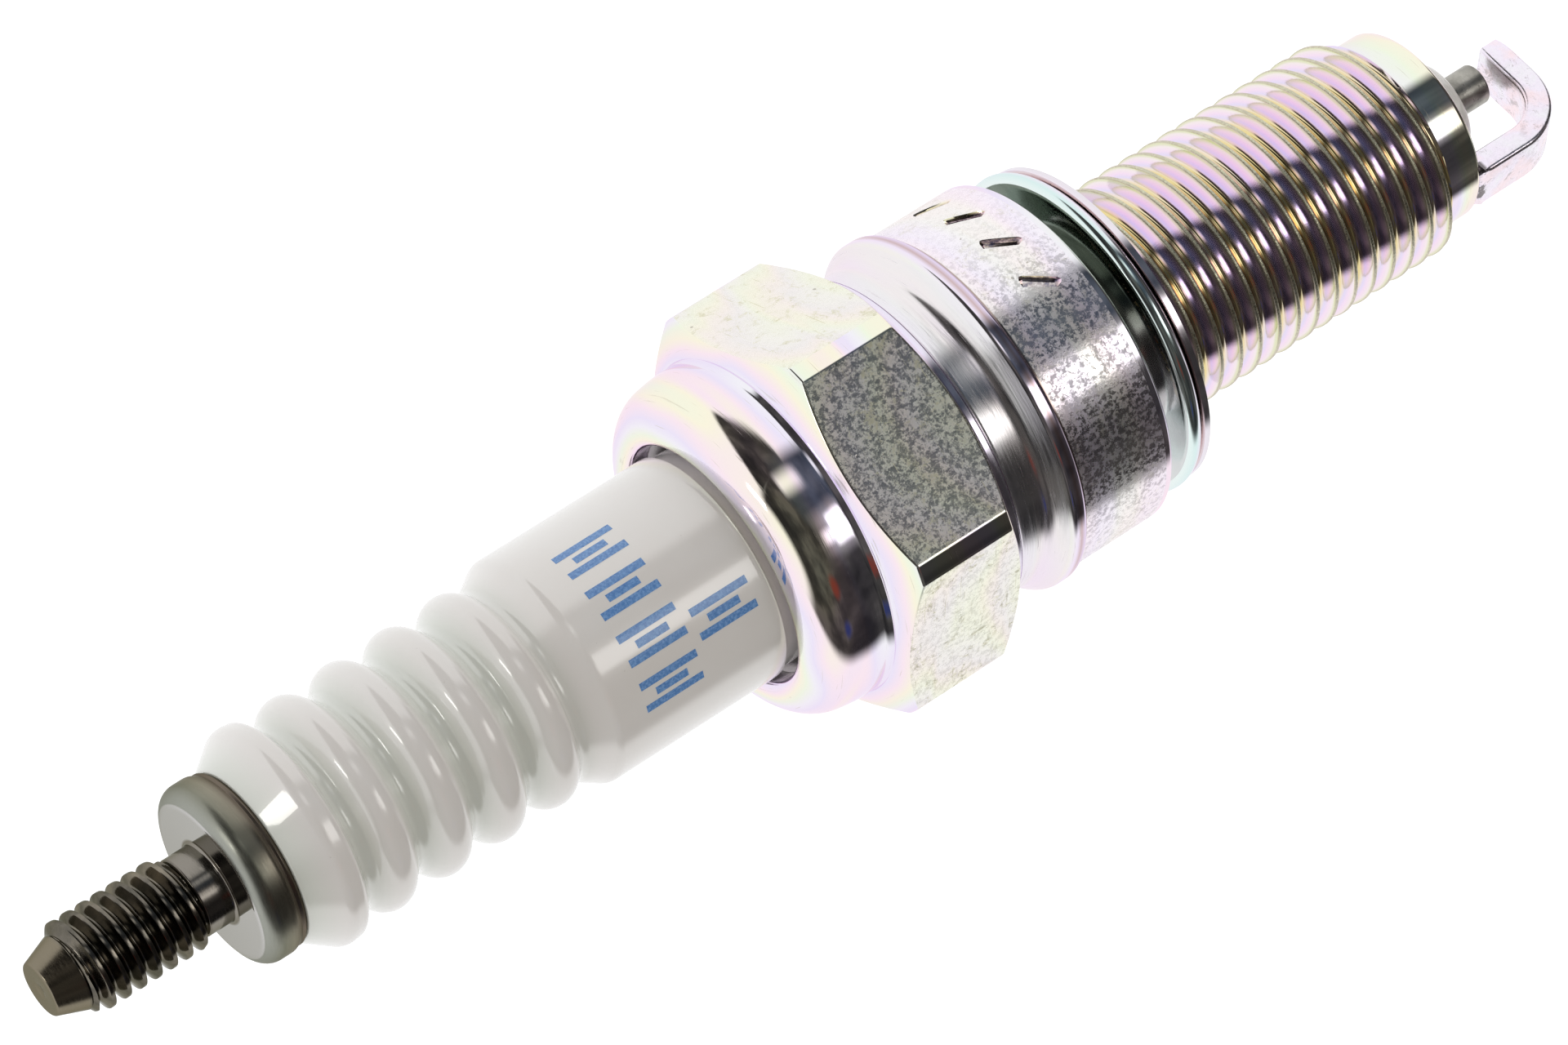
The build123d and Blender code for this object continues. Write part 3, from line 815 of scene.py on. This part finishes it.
def make_shell_body(smooth, barrel_finish, thread, seat_finish):
    """Shell without its hexagon: bore mouth, pilot, thread, neck, barrel, lip, waist and rolled rim."""
    mesh = bmesh.new()
    pilot = rounded(
        [
            (NOSE_BORE_R, -REACH + 5),
            (NOSE_BORE_R, -REACH + 0.2),
            (NOSE_BORE_R + 0.2, -REACH),
            (PILOT_R, -REACH, 0.22),
            (PILOT_R, THREAD_END),
            (THREAD_CORE_R, THREAD_END),
        ],
        closed=False,
    )
    add_lathe(mesh, pilot, material=0)
    section = thread_section(THREAD_MAJOR_R, THREAD_CORE_R, THREAD_PITCH)
    add_thread(mesh, section, THREAD_END, THREAD_TOP, THREAD_CREST, 0.5, material=2)
    seat = rounded(
        [
            (THREAD_CORE_R, THREAD_TOP),
            (NECK_R, THREAD_TOP + 0.1),
            (NECK_R, 0, 0.2),
            (BARREL_R - 0.15, 0),
        ],
        closed=False,
    )
    add_lathe(mesh, seat, material=3)
    edge = rounded([seat[-1], (BARREL_R, 0.15, 0.1), (BARREL_R, 0.4)], closed=False)
    add_lathe(mesh, edge, material=0)
    barrel = [Vector((BARREL_R, 0.4)), Vector((BARREL_R, BARREL_TOP - 0.12))]
    add_lathe(mesh, subdivide(barrel, 0.4), material=1)
    upper = rounded(
        [
            (BARREL_R, BARREL_TOP - 0.12),
            (BARREL_R, BARREL_TOP, 0.06),
            (LIP_R, BARREL_TOP, 0.2),
            (LIP_R, LIP_TOP, 0.3),
            (WAIST_R + 0.1, LIP_TOP + 0.75, 0.8),
            (WAIST_R, WAIST_TOP, 0.3),
            (HEX_CORE_R, WAIST_TOP, 0.05),
            (HEX_CORE_R, HEX_TOP - 0.12),
            (RIM_R + 0.06, HEX_TOP - 0.06, 0.02),
            (RIM_R - 0.05, HEX_TOP + 0.25, 0.5),
            (RIM_R, HEX_TOP + 0.9, 3.0),
            (RIM_R - 0.35, RIM_TOP, 1.75),
            (RIM_OPENING_R, RIM_TOP, 0.35),
            (RIM_OPENING_R, RIM_TOP - RIM_LIP_HEIGHT, 0.05),
            (CHAMBER_R, RIM_TOP - RIM_LIP_HEIGHT),
            (CHAMBER_R, 8.0),
            (NOSE_BORE_R + 0.25, 6.0),
            (NOSE_BORE_R + 0.25, -8.0),
            (NOSE_BORE_R - 0.4, -9.0),
            (NOSE_BORE_R - 0.4, -12.0),
            (NOSE_BORE_R, -12.4),
            (NOSE_BORE_R, -REACH + 5),
        ],
        closed=False,
        step=6,
    )
    add_lathe(mesh, upper, material=0)
    shell = finish_mesh("shell_body", mesh, [smooth, barrel_finish, thread, seat_finish])
    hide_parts("metal_shell")
    return shell


def make_stamp_marks(shell, material):
    """Cuts the four slanted chisel marks in the barrel."""
    cutters = bmesh.new()
    for azimuth in MARK_AZIMUTHS:
        mark = bmesh.new()
        floor = [(-0.62, -0.18), (0.66, -0.22), (0.66, 0.22), (-0.62, 0.18)]
        mouth = [(-0.95, 0.1), (-0.7, -0.23), (0.74, -0.28), (0.95, 0.2), (0.74, 0.29), (-0.7, 0.23)]
        low = [mark.verts.new((-0.24, y, z)) for z, y in floor]
        high = [mark.verts.new((0.12, y, z)) for z, y in mouth]
        bmesh.ops.convex_hull(mark, input=low + high)
        slant = Matrix.Rotation(math.radians(MARK_SLANT), 4, "X")
        outward = Matrix.Translation((BARREL_R, 0, MARK_HEIGHT)) @ slant
        place = Matrix.Rotation(math.radians(azimuth), 4, "Z") @ outward
        bmesh.ops.transform(mark, matrix=place, verts=mark.verts)
        bmesh.ops.scale(mark, vec=(MM, MM, MM), verts=mark.verts)
        data = bpy.data.meshes.new("mark")
        mark.to_mesh(data)
        mark.free()
        cutters.from_mesh(data)
        bpy.data.meshes.remove(data)
    data = bpy.data.meshes.new("marks")
    cutters.to_mesh(data)
    cutters.free()
    data.materials.append(material)
    tool = bpy.data.objects.new("marks", data)
    bpy.context.scene.collection.objects.link(tool)
    modifier = shell.modifiers.new("marks", "BOOLEAN")
    modifier.operation = "DIFFERENCE"
    modifier.solver = "EXACT"
    modifier.object = tool
    with bpy.context.temp_override(object=shell, active_object=shell, selected_objects=[shell]):
        bpy.ops.object.modifier_apply(modifier=modifier.name)
    bpy.data.objects.remove(tool)
    shell.data.set_sharp_from_angle(angle=math.radians(32))


def make_hexagon(flat_finish, smooth):
    """Hexagon as a ring: flats, turned corners and a chamfer that cuts each flat in a curve."""
    corner = math.degrees(math.acos(HEX_HALF / HEX_CORNER_R))
    slope = math.tan(math.radians(HEX_CHAMFER_ANGLE))
    offsets = [-corner + 2 * corner * k / HEX_FLAT_STEPS for k in range(HEX_FLAT_STEPS + 1)]
    turn = 60 - 2 * corner
    offsets += [corner + turn * k / HEX_CORNER_STEPS for k in range(1, HEX_CORNER_STEPS)]
    mesh = bmesh.new()
    rings = []
    on_corner = []
    for sector in range(6):
        for offset in offsets:
            on_corner.append(offset >= corner - 0.001)
            radius = HEX_HALF / math.cos(math.radians(offset)) if offset <= corner else HEX_CORNER_R
            drop = (radius - HEX_FACE_R) * slope
            section = [
                (HEX_BORE_R, HEX_BOTTOM),
                (HEX_FACE_R, HEX_BOTTOM),
                (radius, HEX_BOTTOM + drop),
                (radius, HEX_TOP - drop),
                (HEX_FACE_R, HEX_TOP),
                (HEX_BORE_R, HEX_TOP),
            ]
            a = math.radians(60 * sector + offset)
            rings.append([mesh.verts.new((r * math.cos(a), r * math.sin(a), z)) for r, z in section])
    for i, ring in enumerate(rings):
        following = rings[(i + 1) % len(rings)]
        for k in range(len(ring)):
            j = (k + 1) % len(ring)
            face = mesh.faces.new((ring[k], following[k], following[j], ring[j]))
            face.material_index = int(on_corner[i] or k != 2)
    piece = finish_mesh("shell_hexagon", mesh, [flat_finish, smooth], sharp=180)
    bevel = piece.modifiers.new("bevel", "BEVEL")
    bevel.width = 0.09 * MM
    bevel.segments = 3
    bevel.limit_method = "ANGLE"
    bevel.angle_limit = math.radians(18)
    bevel.harden_normals = True
    return piece


def make_insulator(ceramic):
    """Glazed insulator with a conical head, four ribs, barrel, shoulder and nose."""
    flank = math.tan(math.radians(RIB_FLANK_ANGLE))
    overshoot = 1 / math.cos(math.radians(RIB_FLANK_ANGLE)) - 1
    crest = RIB_R + RIB_CREST_FILLET * overshoot
    valley = crest - RIB_PITCH / 2 * flank
    last_valley = LAST_VALLEY_R - RIB_VALLEY_FILLET * overshoot
    last_rib = RIB_FIRST - (RIB_COUNT - 1) * RIB_PITCH
    corners = [
        (CONDUCTOR_BORE_R, HEAD_TOP),
        (HEAD_TOP_R, HEAD_TOP, 0.18),
        (4.78, 37.6, 0.7),
        (4.72, 36.9, 0.35),
        (valley, RIB_FIRST + RIB_PITCH / 2, RIB_VALLEY_FILLET),
    ]
    for i in range(RIB_COUNT):
        top = RIB_FIRST - i * RIB_PITCH
        corners.append((crest, top, RIB_CREST_FILLET))
        if i < RIB_COUNT - 1:
            corners.append((valley, top - RIB_PITCH / 2, RIB_VALLEY_FILLET))
    corners += [
        (last_valley, last_rib - (crest - last_valley) / flank, RIB_VALLEY_FILLET),
        (BODY_R, BODY_TOP, 0.7),
        (BODY_R, GLAZE_BOTTOM),
        (BODY_R - GLAZE, GLAZE_BOTTOM),
        (BODY_R - GLAZE, 12.9),
        (SHOULDER_R, 12.0, 0.3),
        (SHOULDER_R, 6.9, 0.3),
        (CORE_R, 4.3, 0.6),
        (CORE_R, -7.9),
        (2.5, -8.6),
        (2.1, NOSE_TIP, 0.3),
        (ELECTRODE_BORE_R, NOSE_TIP),
        (ELECTRODE_BORE_R, BORE_STEP),
        (CONDUCTOR_BORE_R, BORE_STEP),
    ]
    mesh = bmesh.new()
    add_lathe(mesh, subdivide(rounded(corners, closed=True, step=5), 1.2))
    piece = finish_mesh("insulator_body", mesh, [ceramic], sharp=40)
    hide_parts("insulator")
    return piece


def make_print(ink):
    """Five groups of three plain blue bars on the barrel, where a print would be."""
    mesh = bmesh.new()
    half_angle = 1.9
    long, short = 1.35, 0.75
    steps = 6
    strokes = []
    for centre, height in ((37, 22.4), (13, 22.4), (-11, 22.4), (-35, 22.4), (-18, 19.3)):
        strokes += [(centre + 6, height, long), (centre, height, short), (centre - 6, height, long)]
    for azimuth, height, half_height in strokes:
        angles = [math.radians(azimuth + half_angle * (2 * k / steps - 1)) for k in range(steps + 1)]
        loops = []
        for radius in (BODY_R - 0.02, BODY_R + 0.008):
            rows = []
            for z in (height - half_height, height + half_height):
                rows.append([mesh.verts.new((radius * math.cos(a), radius * math.sin(a), z)) for a in angles])
            loops.append(rows[0] + rows[1][::-1])
        inner, outer = loops
        count = len(inner)
        for k in range(steps):
            for loop in loops:
                mesh.faces.new((loop[k], loop[k + 1], loop[count - 2 - k], loop[count - 1 - k]))
        for k in range(count):
            j = (k + 1) % count
            mesh.faces.new((inner[k], inner[j], outer[j], outer[k]))
    return finish_mesh("print_marks", mesh, [ink])


def make_stud(steel):
    """Terminal stud: flange with a rounded rim, neck, thread and conical tip."""
    mesh = bmesh.new()
    lower = rounded(
        [
            (0, SHANK_END),
            (SHANK_R, SHANK_END, 0.2),
            (SHANK_R, HEAD_TOP + 0.01),
            (FLANGE_R - 0.2, HEAD_TOP + 0.01),
            (FLANGE_R - 0.08, HEAD_TOP + 0.14, 0.06),
            (FLANGE_R - 0.12, FLANGE_BOTTOM + 0.02, 0.05),
            (FLANGE_R, FLANGE_BOTTOM + 0.25, 0.5),
            (FLANGE_R, FLANGE_TOP, 0.72),
            (STUD_NECK_R, FLANGE_TOP, 0.12),
            (STUD_NECK_R, STUD_BOTTOM, 0.08),
            (STUD_CORE_R, STUD_BOTTOM + 0.05),
        ],
        closed=False,
        step=6,
    )
    add_lathe(mesh, lower, STUD_COLUMNS)
    section = thread_section(STUD_MAJOR_R, STUD_CORE_R, STUD_PITCH, crest_share=0.13)
    add_thread(mesh, section, STUD_BOTTOM + 0.05, STUD_TOP, STUD_CREST, 0.3, STUD_COLUMNS)
    tip = rounded(
        [
            (STUD_CORE_R, STUD_TOP),
            (STUD_CONE_R, STUD_TOP, 0.05),
            (STUD_TIP_R, STUD_TIP, 0.12),
            (0.35, STUD_TIP - 0.02, 0.1),
            (0, STUD_TIP - 0.1),
        ],
        closed=False,
    )
    add_lathe(mesh, tip, STUD_COLUMNS)
    piece = finish_mesh("stud_body", mesh, [steel])
    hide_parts("terminal_stud")
    return piece


def fold(centre, height, side):
    """Half circle of a strip's middle line, bulging outwards or, with side -1, inwards."""
    points = []
    for k in range(13):
        a = math.radians(90 - side * 15 * k)
        bend = GASKET_LAYER_STEP / 2
        points.append(Vector((centre + bend * math.cos(a), height + bend * math.sin(a))))
    return points


def make_gasket(plating):
    """Crush gasket: a strip folded into three layers."""
    layers = [GASKET_TOP - GASKET_SHEET / 2 - GASKET_LAYER_STEP * i for i in range(3)]
    fold_r = (GASKET_LAYER_STEP + GASKET_SHEET) / 2
    spine = [Vector((GASKET_LIP_R, layers[0])), Vector((4.8, layers[0]))]
    spine += fold(GASKET_OUTER_R - fold_r, (layers[0] + layers[1]) / 2, 1)
    spine += fold(GASKET_FOLD_R + fold_r, (layers[1] + layers[2]) / 2, -1)
    spine += [Vector((6.9, layers[2])), Vector((GASKET_OUTER_R - 0.12, layers[2]))]
    upper, lower = [], []
    for i, point in enumerate(spine):
        run = (spine[min(i + 1, len(spine) - 1)] - spine[max(i - 1, 0)]).normalized()
        side = Vector((-run.y, run.x)) * GASKET_SHEET / 2
        inset = 0.75 if i in (0, len(spine) - 1) else 1.0
        upper.append(point + side * inset)
        lower.append(point - side * inset)
    outline = upper + lower[::-1]
    outline.append(outline[0])
    mesh = bmesh.new()
    add_lathe(mesh, outline)
    piece = finish_mesh("gasket_ring", mesh, [plating], body="gasket")
    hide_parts("crush_gasket")
    return piece


def make_centre_electrode(alloy):
    """Centre electrode with a faintly rounded tip."""
    mesh = bmesh.new()
    corners = [
        (0, COPPER_END),
        (COPPER_R, COPPER_END),
        (COPPER_R, ELECTRODE_HEAD_TOP),
        (ELECTRODE_HEAD_R, ELECTRODE_HEAD_TOP, 0.15),
        (ELECTRODE_HEAD_R, BORE_STEP),
        (ELECTRODE_R, BORE_STEP),
        (ELECTRODE_R, -20.3),
        (ELECTRODE_R - 0.015, -20.6),
        (ELECTRODE_R, -20.9),
        (ELECTRODE_R, ELECTRODE_TIP, 0.09),
        (0.3, ELECTRODE_TIP, 0.1),
        (0, ELECTRODE_TIP + 0.01),
    ]
    add_lathe(mesh, subdivide(rounded(corners, closed=True), 2.0), 96)
    piece = finish_mesh("electrode_rod", mesh, [alloy])
    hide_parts("centre_electrode")
    return piece


def make_strap(alloy):
    """Ground electrode: a flat strap sunk a little in the shell's end, with weld flash, bent over the tip."""
    fine_step = 0.085
    fine_end = STRAP_SUNK - 9 * fine_step - REACH
    straight = fine_end - (STRAP_ARM_Z + STRAP_BEND_R)
    path = [(STRAP_MID_R, STRAP_SUNK - REACH - fine_step * k, 0.0) for k in range(10)]
    path += [(STRAP_MID_R, fine_end - straight * k / 6, 0.0) for k in range(1, 7)]
    centre_r = STRAP_MID_R - STRAP_BEND_R
    for k in range(1, 25):
        turn = math.pi / 2 * k / 24
        x = centre_r + STRAP_BEND_R * math.cos(turn)
        path.append((x, STRAP_ARM_Z + STRAP_BEND_R * (1 - math.sin(turn)), turn))
    arm = STRAP_END_R - centre_r
    path += [(centre_r + arm * k / 10, STRAP_ARM_Z, math.pi / 2) for k in range(1, 11)]
    half_w, half_t = STRAP_WIDTH / 2, STRAP_THICKNESS / 2
    quarters = ((1, 1), (-1, 1), (-1, -1), (1, -1))
    outline = rounded([(i * half_w, j * half_t, STRAP_EDGE_R) for i, j in quarters], closed=False, step=15)
    about = Matrix.Rotation(STRAP_AZIMUTH, 3, "Z")
    mesh = bmesh.new()
    rings = []
    for x, z, turn in path:
        buried = min(1.0, max(0.0, (z + REACH + 0.12) / 0.3))
        flash = math.exp(-(((z + REACH + 0.14) / 0.14) ** 2))
        taper = max(0.0, 1 - (x - STRAP_END_R) / 0.9) if turn > 1.5 else 0.0
        ring = []
        for width, thick in outline:
            ripple = (0.05 * math.sin(9 * width + 4) + 0.04 * math.sin(23 * width + 3 * thick)) * flash
            wide = width * (1 - 0.07 * buried - 0.08 * taper * taper) + 0.6 * ripple
            deep = thick * (1 - 0.16 * taper * taper) + ripple - 0.14 * buried
            place = Vector((x + deep * math.cos(turn), wide, z - deep * math.sin(turn)))
            ring.append(mesh.verts.new(about @ place))
        rings.append(ring)
    count = len(outline)
    for lower, upper in zip(rings, rings[1:]):
        for k in range(count):
            mesh.faces.new((lower[k], lower[(k + 1) % count], upper[(k + 1) % count], upper[k]))
    mesh.faces.new(rings[0])
    mesh.faces.new(rings[-1])
    piece = finish_mesh("strap_bar", mesh, [alloy], sharp=40)
    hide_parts("ground_electrode")
    return piece


def finish_inner_nodes():
    """Gives every CAD node that stays its own grained finish."""
    finishes = {
        "upper_packing_ring": ("ring_steel_upper", (0.34, 0.33, 0.32), (0.52, 0.50, 0.48), 6.0, 0.38, 1.0),
        "lower_packing_ring": ("ring_steel_lower", (0.32, 0.31, 0.30), (0.48, 0.47, 0.45), 6.5, 0.4, 1.0),
        "talc_fill": ("talc_powder", (0.72, 0.71, 0.66), (0.84, 0.83, 0.79), 9.0, 0.85, 0.0),
        "seat_packing": ("seat_steel", (0.38, 0.37, 0.35), (0.56, 0.55, 0.52), 8.0, 0.35, 1.0),
        "copper_core": ("copper_drawn", (0.62, 0.28, 0.16), (0.83, 0.45, 0.29), 7.0, 0.3, 1.0),
        "lower_glass_seal": ("seal_glass_lower", (0.10, 0.09, 0.08), (0.24, 0.20, 0.16), 5.0, 0.3, 0.0),
        "upper_glass_seal": ("seal_glass_upper", (0.11, 0.10, 0.08), (0.26, 0.21, 0.16), 5.5, 0.3, 0.0),
        "resistor": ("resistor_carbon", (0.05, 0.05, 0.05), (0.13, 0.12, 0.12), 8.0, 0.7, 0.0),
    }
    for node, (name, low, high, scale, roughness, metallic) in finishes.items():
        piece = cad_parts[node]
        piece.data.materials.clear()
        piece.data.materials.append(granular(name, low, high, scale, roughness, metallic))


def main():
    make_camera()
    make_world()
    make_lamp()
    make_floor()
    smooth, seat_finish = smooth_plating(), seat_plating()
    barrel = pebbled_plating("plating_barrel", (0.97, 0.92, 0.98, 1), 0.47, 0.0040, 0.3)
    flats = pebbled_plating("plating_hexagon", (0.92, 0.91, 0.80, 1), 0.36, 0.0040, 0.8)
    shell = make_shell_body(smooth, barrel, thread_plating(), seat_finish)
    make_stamp_marks(shell, smooth)
    make_hexagon(flats, smooth)
    make_gasket(gasket_plating())
    make_insulator(glazed_ceramic())
    make_print(blue_ink())
    make_stud(dark_steel())
    make_centre_electrode(electrode_alloy())
    make_strap(strap_alloy())
    finish_inner_nodes()
    bpy.context.scene.view_settings.view_transform = "Standard"


main()
